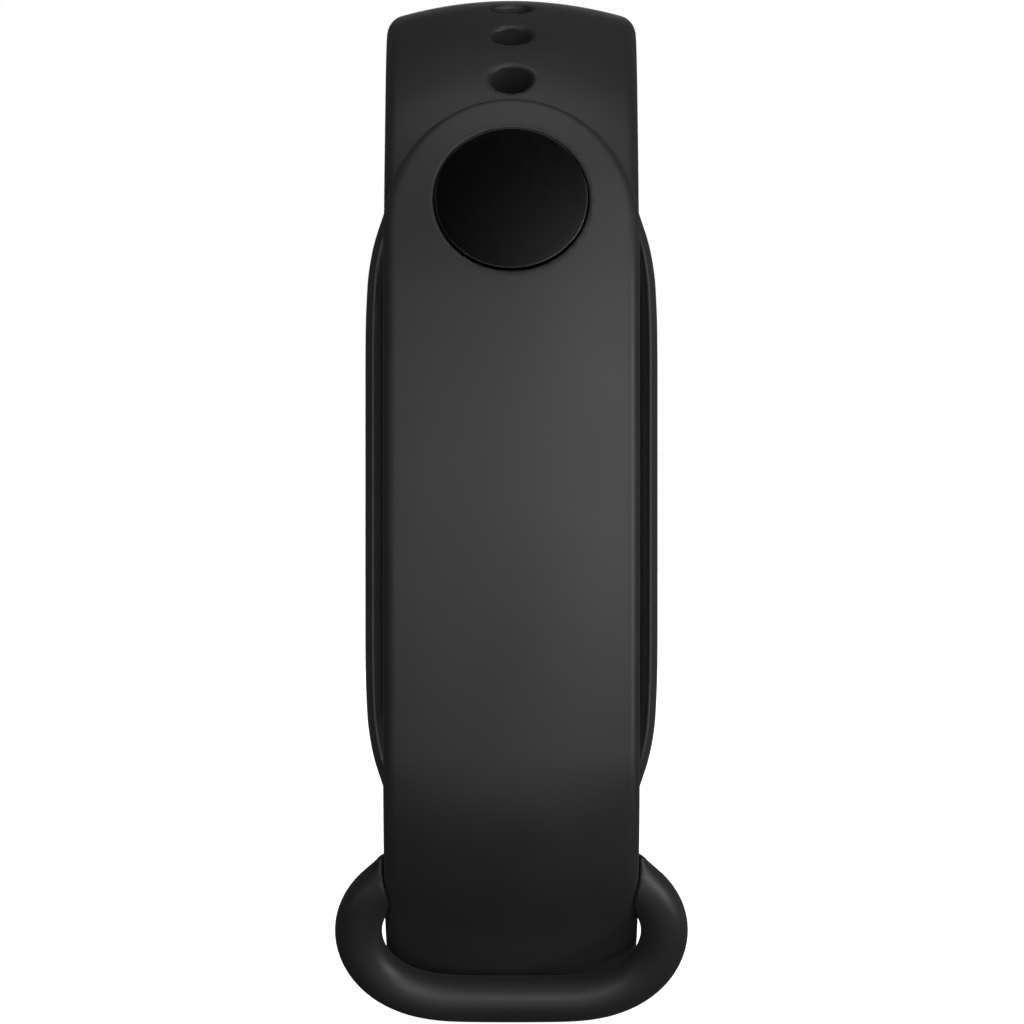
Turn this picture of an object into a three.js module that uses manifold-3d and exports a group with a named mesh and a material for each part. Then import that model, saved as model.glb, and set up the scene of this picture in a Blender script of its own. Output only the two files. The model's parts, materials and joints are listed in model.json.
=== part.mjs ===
// Fitness tracker band, closed: an elastomer cradle ring with two straps, a stud clasp with a keeper loop,
// and a pill-shaped tracker capsule with its electronics. Millimetres, +Z up.
// X runs across the strap. The clasp is on the -Y side of the wrist, the capsule on the +Y side.
import * as THREE from "three";
import { mergeVertices } from "three/addons/utils/BufferGeometryUtils.js";
import Module from "manifold-3d";

// ---- driving dimensions ----
const GAP = 0.3; // between pieces that touch
const STRAP_HALF = 8.5; // half width of the strap at the clasp
const STRAP_HALF_TOP = 8.65; // half width near the capsule
const STRAP_T = 2.4; // hole strap thickness at its crown
const TAB_T = 2.0; // stud strap thickness
const CROWN_R = 28; // crown radius across the strap
const EDGE_R = 0.85;
// Side profile of the closed loop, outer surface of the hole strap, as three tangent arcs (Y, Z, radius)
const TOP = { y: -3, z: 11.2, r: 24.69 };
const MID_R = 110;
const MID_HALF = 8; // degrees of the middle arc, each side
const LOW_R = 15.5;
// the rest of the loop towards the cradle, each arc as [radius, end normal angle]
const TOP_ROOT = [[70, 102], [15, 165]];
const LOW_FROM = -60; // the stud strap leaves the low arc here and flattens under the wrist
const LOW_ROOT = [[27, -90], [155, -98], [11, -165]];
const HOLE_D = 3.0;
const HOLE_0 = 21.5; // the stud's own hole, degrees above the horizontal
const HOLE_PITCH = 5.62;
const HOLES_UP = 5, HOLES_DOWN = 6;
const TIP_BASE = 18.6, TIP_END = 37.8; // tab tip, degrees on the tab's outer surface
const STUD_CAP_R = 5.2, STUD_CAP_T = 0.85;
const STUD_SEAT_R = 5.5, STUD_SEAT_D = 1.25;
const STUD_SHANK_R = 1.15, STUD_HEAD_R = 1.42;
const PEEL_DEG = -6.5; // where the tab starts to bend away, degrees on the side profile
// keeper loop
const LOOP_TUBE_R = 1.57;
const LOOP_A = { y: -24.25, z: -21.2 }, LOOP_B = { y: -17.5, z: -33.2 };
const LOOP_WIDE = 0.594; // how far from A to B the loop is widest
// the loop's centre line about that point: radius as a cosine series of the angle from the downward axis
const LOOP_SERIES = [7.8132, -0.0766, -2.3279, -0.1181, 0.2483, 0.0126, 0.0215, 0.022, -0.0058, -0.0074, -0.0016];
// cradle ring and capsule (centre height, stations along Y)
const RING_Z = 0.8;
const CAP_R = 9.05, CAP_STRAIGHT = 14.4; // the capsule's end radius and half its straight length
const RING_Y0 = 15.5, RING_Y1 = 24.6, LIP_Y = 22.3;
const CAP_Y0 = 14.6, CAP_Y1 = 26.9;
const NECK_R = 8.25, BORE_R = 9.25, LIP_R = 8.45;

const D = Math.PI / 180;
const wasm = await Module();
wasm.setup();

function solid(geometry) {
  let g = geometry.index ? geometry.toNonIndexed() : geometry;
  g = new THREE.BufferGeometry().setAttribute("position", g.getAttribute("position"));
  g = mergeVertices(g, 1e-4);
  return new wasm.Manifold(
    new wasm.Mesh({
      numProp: 3,
      vertProperties: new Float32Array(g.attributes.position.array),
      triVerts: new Uint32Array(g.index.array),
    }),
  );
}
function geometryOf(s) {
  const m = s.getMesh();
  const v = new Float32Array(m.numVert * 3);
  for (let i = 0; i < m.numVert; i++)
    v.set(m.vertProperties.subarray(i * m.numProp, i * m.numProp + 3), i * 3);
  return new THREE.BufferGeometry()
    .setAttribute("position", new THREE.BufferAttribute(v, 3))
    .setIndex(new THREE.BufferAttribute(new Uint32Array(m.triVerts), 1));
}

// The origin is the middle of the sensor window's skin face; the profile below is drawn about another point.
const ORIGIN = { y: 14.25, z: RING_Z };
const root = new THREE.Group();
const band = new THREE.Group();
band.position.set(0, -ORIGIN.y, -ORIGIN.z);
root.add(band);
const finishes = {
  elastomer: [0x1b1b1c, 0.62, 0], stud: [0x0a0a0b, 0.12, 0], shell: [0x161617, 0.45, 0],
  glass: [0x050506, 0.05, 0], display: [0x0c0d10, 0.25, 0], steel: [0x9c9ea2, 0.3, 1],
  pcb: [0x123a24, 0.5, 0], chip: [0x17181a, 0.4, 0], battery: [0x8d8f94, 0.4, 0.6],
  gold: [0xc7a45a, 0.3, 1], seal: [0x2a2a2c, 0.8, 0], lens: [0x0b0c0e, 0.08, 0], led: [0xd8e8c8, 0.4, 0],
  flex: [0x8a5a1c, 0.5, 0], tungsten: [0x6d6f73, 0.45, 1],
};
function add(name, geometry, finish) {
  const [color, roughness, metalness] = finishes[finish];
  geometry.computeVertexNormals();
  const mesh = new THREE.Mesh(geometry, new THREE.MeshStandardMaterial({ color, roughness, metalness }));
  mesh.name = name;
  band.add(mesh);
}

// ---- the side profile ----
const MID = {
  y: TOP.y + (MID_R - TOP.r) * Math.cos(MID_HALF * D),
  z: TOP.z - (MID_R - TOP.r) * Math.sin(MID_HALF * D),
  r: MID_R,
};
const LOW = {
  y: MID.y - (MID_R - LOW_R) * Math.cos(-MID_HALF * D),
  z: MID.z + (MID_R - LOW_R) * Math.sin(-MID_HALF * D),
  r: LOW_R,
};
// Point at normal angle a (degrees from -Y towards +Z) on the surface offset outwards by off.
function side(a, off = 0) {
  const c = a >= MID_HALF ? TOP : a >= -MID_HALF ? MID : LOW;
  return new THREE.Vector3(0, c.y - (c.r + off) * Math.cos(a * D), c.z + (c.r + off) * Math.sin(a * D));
}
// Normal angle at arc length s above the stud's hole, along the outer surface.
function angleAt(s) {
  const up = (HOLE_0 - MID_HALF) * D * TOP.r;
  if (s >= -up) return HOLE_0 + s / TOP.r / D;
  const mid = 2 * MID_HALF * D * MID_R;
  if (s >= -up - mid) return MID_HALF + (s + up) / MID_R / D;
  return -MID_HALF + (s + up + mid) / LOW_R / D;
}

// Tangent arcs that carry on from a point with normal angle a0: each is [radius, end angle].
function arcChain(start, a0, arcs, step) {
  const n = (a) => new THREE.Vector3(0, -Math.cos(a * D), Math.sin(a * D));
  const pts = [start.clone()];
  let p = start.clone(), a = a0;
  for (const [r, end] of arcs) {
    const c = p.clone().addScaledVector(n(a), -r), k = Math.max(2, Math.ceil((Math.abs(end - a) * D * r) / step));
    for (let i = 1; i <= k; i++) pts.push(c.clone().addScaledVector(n(a + ((end - a) * i) / k), r));
    p = pts[pts.length - 1].clone();
    a = end;
  }
  return pts;
}

class SidePath extends THREE.Curve {
  constructor(points) {
    super();
    this.points = points;
    this.arcLengthDivisions = points.length * 4;
  }
  getPoint(t, target = new THREE.Vector3()) {
    const n = this.points.length - 1, i = Math.min(n - 1, Math.floor(t * n));
    return target.lerpVectors(this.points[i], this.points[i + 1], t * n - i);
  }
  getSpacedPoints() {
    return this.points.map((p) => p.clone());
  }
  computeFrenetFrames(segments) {
    const tangents = [], normals = [], binormals = [], p = this.points, n = p.length - 1;
    for (let i = 0; i <= segments; i++) {
      const a = p[Math.max(0, i - 1)], b = p[Math.min(n, i + 1)];
      const t = (this.ends && i === 0 ? this.ends[0] : this.ends && i === n ? this.ends[1] : b.clone().sub(a)).clone().normalize();
      tangents.push(t);
      binormals.push(new THREE.Vector3(1, 0, 0));
      normals.push(new THREE.Vector3(0, -t.z, t.y));
    }
    return { tangents, normals, binormals };
  }
}
function arcPath(a0, a1, step, off = 0) {
  const n = Math.max(2, Math.round(Math.abs(a1 - a0) / step)), pts = [];
  for (let i = 0; i <= n; i++) pts.push(side(a0 + ((a1 - a0) * i) / n, off));
  const path = new SidePath(pts);
  const t = (a) => new THREE.Vector3(0, Math.sin(a * D), Math.cos(a * D)); // direction of growing angle
  path.ends = [t(a0), t(a1)];
  return path;
}
// Section across the strap: first coordinate outwards from the crown line, second along X.
function section(half, thick, { concave = false, crown = CROWN_R, edge = EDGE_R, n = 8 } = {}) {
  const sag = (x) => -(x * x) / (2 * crown);
  const pts = [];
  for (let i = 0; i <= n; i++) {
    const x = -(half - edge) + (2 * (half - edge) * i) / n;
    pts.push([sag(x), x]);
  }
  const inner = (x) => (concave ? sag(x) - thick : -thick);
  const e0 = sag(half - edge), low = inner(half - 0.4);
  pts.push([e0 - edge * (1 - Math.cos(45 * D)), half - edge + edge * Math.sin(45 * D)]);
  pts.push([e0 - edge, half]);
  if (low + 0.4 < e0 - edge - 0.05) pts.push([low + 0.4, half]);
  pts.push([low, half - 0.4]);
  const m = concave ? n : 2;
  for (let i = 1; i < m; i++) {
    const x = half - 0.4 - (2 * (half - 0.4) * i) / m;
    if (concave || Math.abs(x) > 1e9) pts.push([inner(x), x]);
  }
  pts.push([low, -(half - 0.4)]);
  if (low + 0.4 < e0 - edge - 0.05) pts.push([low + 0.4, -half]);
  pts.push([e0 - edge, -half]);
  pts.push([e0 - edge * (1 - Math.cos(45 * D)), -(half - edge + edge * Math.sin(45 * D))]);
  return new THREE.Shape(pts.map(([a, b]) => new THREE.Vector2(a, b)));
}
function sweep(shape, path) {
  return new THREE.ExtrudeGeometry(shape, { steps: path.points.length - 1, extrudePath: path, bevelEnabled: false });
}
function onNormal(g, a, off) {
  // +Y of the geometry to the outward normal (0, -cos a, sin a)
  const n = new THREE.Vector3(0, -Math.cos(a * D), Math.sin(a * D));
  const q = new THREE.Quaternion().setFromUnitVectors(new THREE.Vector3(0, 1, 0), n);
  const p = side(a, off);
  g.applyQuaternion(q);
  g.translate(p.x, p.y, p.z);
  return g;
}
// Round cutter along the surface normal at angle a, from offset o0 to o1.
const drill = (a, r, o0, o1, seg = 16) =>
  onNormal(new THREE.CylinderGeometry(r, r, o1 - o0, seg), a, (o0 + o1) / 2);

// ---- pill and plate helpers, all lying in XZ and extruded along Y ----
function flat(shape, y0, y1, curveSegments = 12) {
  const g = new THREE.ExtrudeGeometry(shape, { depth: y1 - y0, bevelEnabled: false, curveSegments });
  g.rotateX(Math.PI / 2);
  g.translate(0, y1, 0);
  return g;
}
function pillShape(r, straight = CAP_STRAIGHT, z = RING_Z) {
  const s = new THREE.Shape();
  s.moveTo(r, z - straight);
  s.lineTo(r, z + straight);
  s.absarc(0, z + straight, r, 0, Math.PI, false);
  s.lineTo(-r, z - straight);
  s.absarc(0, z - straight, r, Math.PI, 2 * Math.PI, false);
  return s;
}
function pill(r, y0, y1, inner = 0, straight = CAP_STRAIGHT, seg = 12) {
  const s = pillShape(r, straight);
  if (inner) s.holes.push(new THREE.Path(pillShape(inner, straight).getPoints(seg)));
  return flat(s, y0, y1, seg);
}
function plate(w, h, x, z, y0, y1, r = 0.3) {
  const s = new THREE.Shape(), a = w / 2, b = h / 2;
  s.moveTo(x - a + r, z - b);
  s.lineTo(x + a - r, z - b); s.absarc(x + a - r, z - b + r, r, -Math.PI / 2, 0, false);
  s.lineTo(x + a, z + b - r); s.absarc(x + a - r, z + b - r, r, 0, Math.PI / 2, false);
  s.lineTo(x - a + r, z + b); s.absarc(x - a + r, z + b - r, r, Math.PI / 2, Math.PI, false);
  s.lineTo(x - a, z - b + r); s.absarc(x - a + r, z - b + r, r, Math.PI, 1.5 * Math.PI, false);
  return flat(s, y0, y1, 3);
}
function disc(r, x, z, y0, y1, seg = 24) {
  const g = new THREE.CylinderGeometry(r, r, y1 - y0, seg);
  g.translate(x, (y0 + y1) / 2, z);
  return g;
}
// Half width of the cradle's outline at a distance from its middle.
const OUTLINE = [[0, 10.67], [10.4, 10.67], [13.4, 10.64], [16.3, 10.5], [17.8, 10.28], [19.1, 10.0], [19.8, 9.77], [20.6, 9.49], [21.4, 9.22], [22.3, 8.97], [23.3, 8.78], [24.6, 8.68]];
const RING_END = 25.4;
function outlineShape(inset = 0) {
  const q = [...OUTLINE.map(([z, h]) => [h - inset, z]), [8.3 - inset, RING_END - inset]];
  const pts = [
    ...q.map(([h, z]) => [h, RING_Z + z]),
    ...q.slice().reverse().map(([h, z]) => [-h, RING_Z + z]),
    ...q.slice(1).map(([h, z]) => [-h, RING_Z - z]),
    ...q.slice(1).reverse().map(([h, z]) => [h, RING_Z - z]),
  ];
  return new THREE.Shape(pts.map(([x, z]) => new THREE.Vector2(x, z)));
}

// ---- cradle ring ----
{
  let ring = solid(flat(outlineShape(), RING_Y0 + 0.7, RING_Y1 - 0.8));
  ring = ring.add(solid(flat(outlineShape(0.6), RING_Y0, RING_Y1 - 0.3)));
  ring = ring.add(solid(flat(outlineShape(1.3), RING_Y1 - 1, RING_Y1)));
  ring = ring.subtract(solid(pill(BORE_R, RING_Y0 - 1, LIP_Y, 0, CAP_STRAIGHT, 16)));
  ring = ring.subtract(solid(pill(LIP_R, LIP_Y - 1, RING_Y1 + 1, 0, CAP_STRAIGHT, 16)));
  add("cradle_ring", geometryOf(ring), "elastomer");
}
const bay = (grow) =>
  solid(flat(outlineShape(-grow), RING_Y0 - grow, RING_Y1 + grow)).add(solid(pill(BORE_R, RING_Y0 - 2, RING_Y1 + 3)));

// ---- hole strap: curve over the top, the punched plate, and the keeper loop ----
{
  const pts = arcChain(side(90), 90, TOP_ROOT, 2.6);
  const path = new SidePath(pts);
  let s = solid(sweep(section(STRAP_HALF_TOP, 2.9), path)).subtract(bay(GAP));
  s = s.decompose().sort((a, b) => b.volume() - a.volume())[0];
  add("strap_top_curve", geometryOf(s), "elastomer");
}
const PLATE_LOW = -18;
{
  // from the split above the keeper to just short of the top curve
  const gapDeg = (GAP / TOP.r) / D;
  const path = (() => {
    const a = [];
    for (let d = PLATE_LOW; d < -MID_HALF; d += 5) a.push(d);
    for (let d = -MID_HALF; d < MID_HALF; d += 4) a.push(d);
    for (let d = MID_HALF; d < 90 - gapDeg - 2; d += 5.2) a.push(d);
    a.push(90 - gapDeg);
    const p = new SidePath(a.map((d) => side(d)));
    const t = (x) => new THREE.Vector3(0, Math.sin(x * D), Math.cos(x * D));
    p.ends = [t(a[0]), t(a[a.length - 1])];
    return p;
  })();
  let s = solid(sweep(section(STRAP_HALF, STRAP_T), path));
  for (let k = -HOLES_DOWN; k <= HOLES_UP; k++) {
    const a = angleAt(k * HOLE_PITCH);
    if (a > 84 || a < PLATE_LOW + 4) continue;
    s = s.subtract(solid(drill(a, HOLE_D / 2, -STRAP_T - 1.5, 1.5)));
  }
  add("hole_strap_plate", geometryOf(s), "elastomer");
}
const loopAxis = new THREE.Vector3(0, LOOP_B.y - LOOP_A.y, LOOP_B.z - LOOP_A.z);
const loopLen = loopAxis.length();
loopAxis.normalize();
const loopNormal = new THREE.Vector3(0, loopAxis.z, -loopAxis.y); // towards the outside
{
  const centre = new THREE.Vector3(0, LOOP_A.y, LOOP_A.z).addScaledVector(loopAxis, loopLen * LOOP_WIDE);
  const N = 44, pts = [];
  for (let i = 0; i <= N; i++) {
    const a = (i / N) * 2 * Math.PI;
    const r = LOOP_SERIES.reduce((sum, c, k) => sum + c * Math.cos(k * (a - Math.PI / 2)), 0);
    pts.push(new THREE.Vector3(r * Math.cos(a), 0, 0).add(centre).addScaledVector(loopAxis, r * Math.sin(a)));
  }
  class LoopPath extends THREE.Curve {
    getPoint(t, target = new THREE.Vector3()) {
      const i = Math.min(N - 1, Math.floor(t * N));
      return target.lerpVectors(pts[i], pts[i + 1], t * N - i);
    }
    getSpacedPoints() { return pts.map((p) => p.clone()); }
    computeFrenetFrames(segments) {
      const tangents = [], normals = [], binormals = [];
      for (let i = 0; i <= segments; i++) {
        const a = pts[(i - 1 + N) % N], b = pts[(i + 1) % N];
        const t = b.clone().sub(a).normalize();
        tangents.push(t);
        normals.push(loopNormal.clone());
        binormals.push(t.clone().cross(loopNormal));
      }
      return { tangents, normals, binormals };
    }
  }
  const tube = new THREE.Shape();
  tube.absarc(0, 0, LOOP_TUBE_R, 0, 2 * Math.PI, false);
  let g = new THREE.ExtrudeGeometry(tube, { steps: N, extrudePath: new LoopPath(), bevelEnabled: false, curveSegments: 7 });
  // drop the two end caps of the closed sweep, which lie on each other
  g = closedSweep(g);
  let s = solid(g);
  const gapDeg = (GAP / LOW_R) / D;
  s = s.add(solid(sweep(section(STRAP_HALF, STRAP_T), arcPath(-36, PLATE_LOW - gapDeg, 4.5))));
  // the stud strap runs over the loop's upper bar and out through the window
  const off = TAB_T + GAP + 0.29, way = [];
  for (let d = -5; d > LOW_FROM; d -= 4) way.push(side(d, off));
  const below = arcChain(side(LOW_FROM, off), LOW_FROM, [[LOW_ROOT[0][0] + 0.29, -92]], 1.3);
  const channel = new SidePath([...way, ...below].reverse());
  s = s.subtract(solid(sweep(section(STRAP_HALF + 0.3, TAB_T + 0.58, { concave: true, edge: 0.4 }), channel)));
  s = s.decompose().sort((a, b) => b.volume() - a.volume())[0];
  add("keeper_loop", geometryOf(s), "elastomer");
}
function closedSweep(g) {
  // removes pairs of coincident opposite triangles
  const p = (g.index ? g.toNonIndexed() : g).getAttribute("position"), seen = new Map(), keep = [];
  const key = (i) => [p.getX(i), p.getY(i), p.getZ(i)].map((v) => Math.round(v * 1e3)).join(",");
  for (let i = 0; i < p.count; i += 3) {
    const k = [key(i), key(i + 1), key(i + 2)];
    if (k[0] === k[1] || k[1] === k[2] || k[0] === k[2]) continue;
    const id = k.slice().sort().join("|");
    if (seen.has(id)) seen.set(id, -1);
    else seen.set(id, i);
  }
  for (const i of seen.values()) if (i >= 0) keep.push(i);
  const out = new Float32Array(keep.length * 9);
  keep.forEach((i, n) => {
    for (let j = 0; j < 3; j++) out.set([p.getX(i + j), p.getY(i + j), p.getZ(i + j)], n * 9 + j * 3);
  });
  return new THREE.BufferGeometry().setAttribute("position", new THREE.BufferAttribute(out, 3));
}

// ---- stud strap: curve under the wrist and through the keeper, and the tab with the stud ----
const tabOff = GAP + TAB_T; // the tab's outer surface above the hole strap's
{
  const curve = arcChain(side(LOW_FROM, tabOff), LOW_FROM, LOW_ROOT, 1.9).reverse();
  const arc = [];
  for (let d = LOW_FROM + 4; d <= PEEL_DEG - 1; d += 4.2) arc.push(side(d, tabOff));
  arc.push(side(PEEL_DEG, tabOff));
  const path = new SidePath([...curve, ...arc]);
  const t = (a) => new THREE.Vector3(0, Math.sin(a * D), Math.cos(a * D));
  path.ends = [curve[1].clone().sub(curve[0]), t(PEEL_DEG)];
  let s = solid(sweep(section(STRAP_HALF, TAB_T, { concave: true }), path)).subtract(bay(GAP));
  s = s.decompose().sort((x, y) => y.volume() - x.volume())[0];
  add("stud_strap_curve", geometryOf(s), "elastomer");
}
{
  const gapDeg = (GAP / MID_R) / D, a = [PEEL_DEG + gapDeg];
  for (let d = -3; d < MID_HALF; d += 4) a.push(d);
  for (let d = MID_HALF; d < 44; d += 4.5) a.push(d);
  a.push(45);
  const path = new SidePath(a.map((d) => side(d, tabOff)));
  const t = (x) => new THREE.Vector3(0, Math.sin(x * D), Math.cos(x * D));
  path.ends = [t(a[0]), t(45)];
  let s = solid(sweep(section(STRAP_HALF, TAB_T, { concave: true }), path));
  // rounded tip, cut along the normal through the middle of the tip
  const aim = (TIP_BASE + TIP_END) / 2, R = TOP.r + tabOff;
  const n = new THREE.Vector3(0, -Math.cos(aim * D), Math.sin(aim * D)), up = new THREE.Vector3(0, Math.sin(aim * D), Math.cos(aim * D));
  const mid = side(aim, tabOff);
  const outline = [];
  const v = (deg) => R * Math.sin((deg - aim) * D);
  outline.push([-STRAP_HALF - 1, -80], [STRAP_HALF + 1, -80], [STRAP_HALF + 1, v(TIP_BASE)], [STRAP_HALF, v(TIP_BASE)]);
  for (let i = 1; i < 20; i++) {
    const f = (i / 20) * Math.PI, deg = TIP_BASE + (TIP_END - TIP_BASE) * Math.sin(f);
    outline.push([STRAP_HALF * Math.cos(f), v(deg)]);
  }
  outline.push([-STRAP_HALF, v(TIP_BASE)], [-STRAP_HALF - 1, v(TIP_BASE)]);
  const g = new THREE.ExtrudeGeometry(new THREE.Shape(outline.map(([x, y]) => new THREE.Vector2(x, y))), { depth: 60, bevelEnabled: false });
  g.translate(0, 0, -30);
  g.applyMatrix4(new THREE.Matrix4().makeBasis(new THREE.Vector3(1, 0, 0), up, new THREE.Vector3().crossVectors(new THREE.Vector3(1, 0, 0), up)));
  g.translate(mid.x, mid.y, mid.z);
  s = s.intersect(solid(g));
  // seat of the stud cap and the hole for its shank
  s = s.subtract(solid(onNormal(new THREE.CylinderGeometry(STUD_SEAT_R, STUD_SEAT_R, 4, 32), HOLE_0, tabOff - STUD_SEAT_D + 2)));
  s = s.subtract(solid(drill(HOLE_0, STUD_SHANK_R + GAP, -1, 5, 20)));
  add("stud_strap_tab", geometryOf(s), "elastomer");
}
{
  // domed cap, lathe about its own axis
  const r = STUD_CAP_R, b = tabOff - STUD_SEAT_D + 0.05;
  const prof = [[0, 0], [r - 0.2, 0], [r, 0.2], [r, 0.45], [r - 0.1, 0.6], [r - 0.4, 0.7], [r * 0.6, 0.8], [0, STUD_CAP_T]];
  add("stud_cap", onNormal(new THREE.LatheGeometry(prof.map(([x, y]) => new THREE.Vector2(x, y)), 32), HOLE_0, b + 0.25), "stud");
}
{
  // shank with a rounded snap head, reaching through the tab and the hole strap
  const top = tabOff - STUD_SEAT_D, rs = STUD_SHANK_R, rh = STUD_HEAD_R;
  const prof = [[0, -STRAP_T - 0.35], [0.8, -STRAP_T - 0.2], [rh - 0.1, -STRAP_T + 0.25], [rh, -STRAP_T + 0.6], [rs, -STRAP_T + 1.1], [rs, top], [0, top]];
  add("stud_pin", onNormal(new THREE.LatheGeometry(prof.map(([x, y]) => new THREE.Vector2(x, y)), 20), HOLE_0, 0), "steel");
}

// ---- tracker capsule ----
{
  // middle frame: outer wall, shoulder and the neck that shows through the ring's lip
  let s = solid(pill(CAP_R, 18.3, 22.0, CAP_R - 0.9, CAP_STRAIGHT, 10));
  s = s.add(solid(pill(CAP_R, 21.3, 22.0, NECK_R - 0.7, CAP_STRAIGHT, 10)));
  s = s.add(solid(pill(NECK_R, 21.5, 25.6, NECK_R - 0.7, CAP_STRAIGHT, 10)));
  add("middle_frame", geometryOf(s), "shell");
}
{
  // front glass with rounded rim
  let s = solid(pill(NECK_R, 25.9, 26.4, 0, CAP_STRAIGHT, 12));
  s = s.add(solid(pill(NECK_R - 0.4, 26.2, 26.7, 0, CAP_STRAIGHT, 12)));
  s = s.add(solid(pill(NECK_R - 1.3, 26.5, CAP_Y1, 0, CAP_STRAIGHT, 12)));
  add("front_glass", geometryOf(s), "glass");
}
const FZ = RING_Z;
add("display_panel", plate(13.6, 37.5, 0, FZ, 24.8, 25.6, 3), "display");
add("display_backplate", plate(13.4, 36, 0, FZ, 24.1, 24.5, 2), "steel");
add("mainboard", plate(13.2, 33, 0, FZ - 0.3, 23.15, 23.8, 3), "pcb");
add("processor", plate(6, 6, -2.8, FZ + 6.5, 21.9, 22.85, 0.2), "chip");
add("memory_chip", plate(4, 5, 3.6, FZ + 7, 22.0, 22.85, 0.2), "chip");
add("power_chip", plate(3.2, 3.2, 3.4, FZ + 1.5, 22.1, 22.85, 0.2), "chip");
add("motion_sensor", plate(2.5, 3, -4.2, FZ + 0.5, 22.05, 22.85, 0.2), "chip");
add("radio_shield", plate(8.5, 6.2, 0, FZ - 8.2, 21.85, 22.85, 0.4), "steel");
add("chip_antenna", plate(7, 1.6, 0, FZ - 14.1, 21.95, 22.85, 0.1), "led");
add("crystal", plate(2, 1.6, -0.2, FZ - 3, 22.2, 22.85, 0.1), "steel");
{
  // display flex: folds round the end of the mainboard
  const y = [24.85 - 0.65, 22.85], z = FZ + 16.55;
  const p = [[23.98, z - 0.1], [23.98, z + 0.9], [22.6, z + 0.9], [22.6, z - 3.4], [22.8, z - 3.4], [22.8, z + 0.65], [23.8, z + 0.65], [23.8, z - 0.1]];
  const s = new THREE.Shape(p.map(([a, b]) => new THREE.Vector2(a, b)));
  const g = new THREE.ExtrudeGeometry(s, { depth: 5, bevelEnabled: false });
  // (x, y, z) of the extrusion = (Y, Z, X) of the part
  g.applyMatrix4(new THREE.Matrix4().makeBasis(new THREE.Vector3(0, 1, 0), new THREE.Vector3(0, 0, 1), new THREE.Vector3(1, 0, 0)));
  g.translate(1.6 - 2.5 + 1.2, 0, 0);
  add("display_flex", g, "flex");
}
add("battery", plate(14.2, 23, 0, FZ + 3.6, 17.7, 21.4, 1.2), "battery");
add("battery_protection_board", plate(10, 2.2, 0, FZ - 9.6, 18.6, 19.4, 0.2), "pcb");
add("battery_pad", plate(12, 20, 0, FZ + 3.6, 17.05, 17.4, 0.8), "seal");
const MZ = FZ - 15.2; // motor centre
{
  const seg = 28;
  let s = solid(disc(3.9, 0, MZ, 17.3, 20.3, seg)).subtract(solid(disc(3.6, 0, MZ, 17.6, 21, seg)));
  s = s.add(solid(disc(0.45, 0, MZ, 17.4, 20.1, 16)));
  add("motor_can", geometryOf(s), "steel");
  const half = new THREE.Shape();
  half.absarc(0, MZ, 3.3, 0.12, Math.PI - 0.12, false);
  half.lineTo(-1.1, MZ); half.absarc(0, MZ, 1.1, Math.PI, 2 * Math.PI, false);
  const r = solid(flat(half, 18.0, 19.7, 10)).subtract(solid(disc(0.52, 0, MZ, 17, 21, 16)));
  add("motor_rotor", geometryOf(r), "tungsten");
  add("motor_cover", disc(3.9, 0, MZ, 20.6, 20.85, seg), "steel");
}
add("housing_seal", pill(CAP_R - 0.15, 17.7, 18.0, CAP_R - 0.75, CAP_STRAIGHT, 12), "seal");
{
  // rear housing: shallow cup with the window and two contact holes
  let s = solid(pill(CAP_R - 0.5, CAP_Y0, 15.6, 0, CAP_STRAIGHT, 14));
  s = s.add(solid(pill(CAP_R, 15.1, 17.4, 0, CAP_STRAIGHT, 14)));
  s = s.subtract(solid(pill(CAP_R - 0.9, 15.6, 19, 0, CAP_STRAIGHT, 14)));
  s = s.subtract(solid(disc(4.55, 0, FZ, 14, 17, 28)));
  for (const x of [-3, 3]) s = s.subtract(solid(disc(1.45, x, FZ - 16, 14, 17, 20)));
  add("rear_housing", geometryOf(s), "shell");
}
add("sensor_window", disc(4.25, 0, FZ, 14.25, 15.3, 28), "lens");
add("charging_contact_left", disc(1.15, -3, FZ - 16, 14.5, 15.8, 20), "gold");
add("charging_contact_right", disc(1.15, 3, FZ - 16, 14.5, 15.8, 20), "gold");
add("sensor_board", plate(9.6, 12, 0, FZ, 16.3, 16.75, 1), "pcb");
add("sensor_led_left", plate(1.4, 1.4, -2.9, FZ, 15.6, 16.0, 0.1), "led");
add("sensor_led_right", plate(1.4, 1.4, 2.9, FZ, 15.6, 16.0, 0.1), "led");
add("photodiode", plate(2.2, 2.6, 0, FZ, 15.6, 16.0, 0.1), "chip");

export default root;
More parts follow.
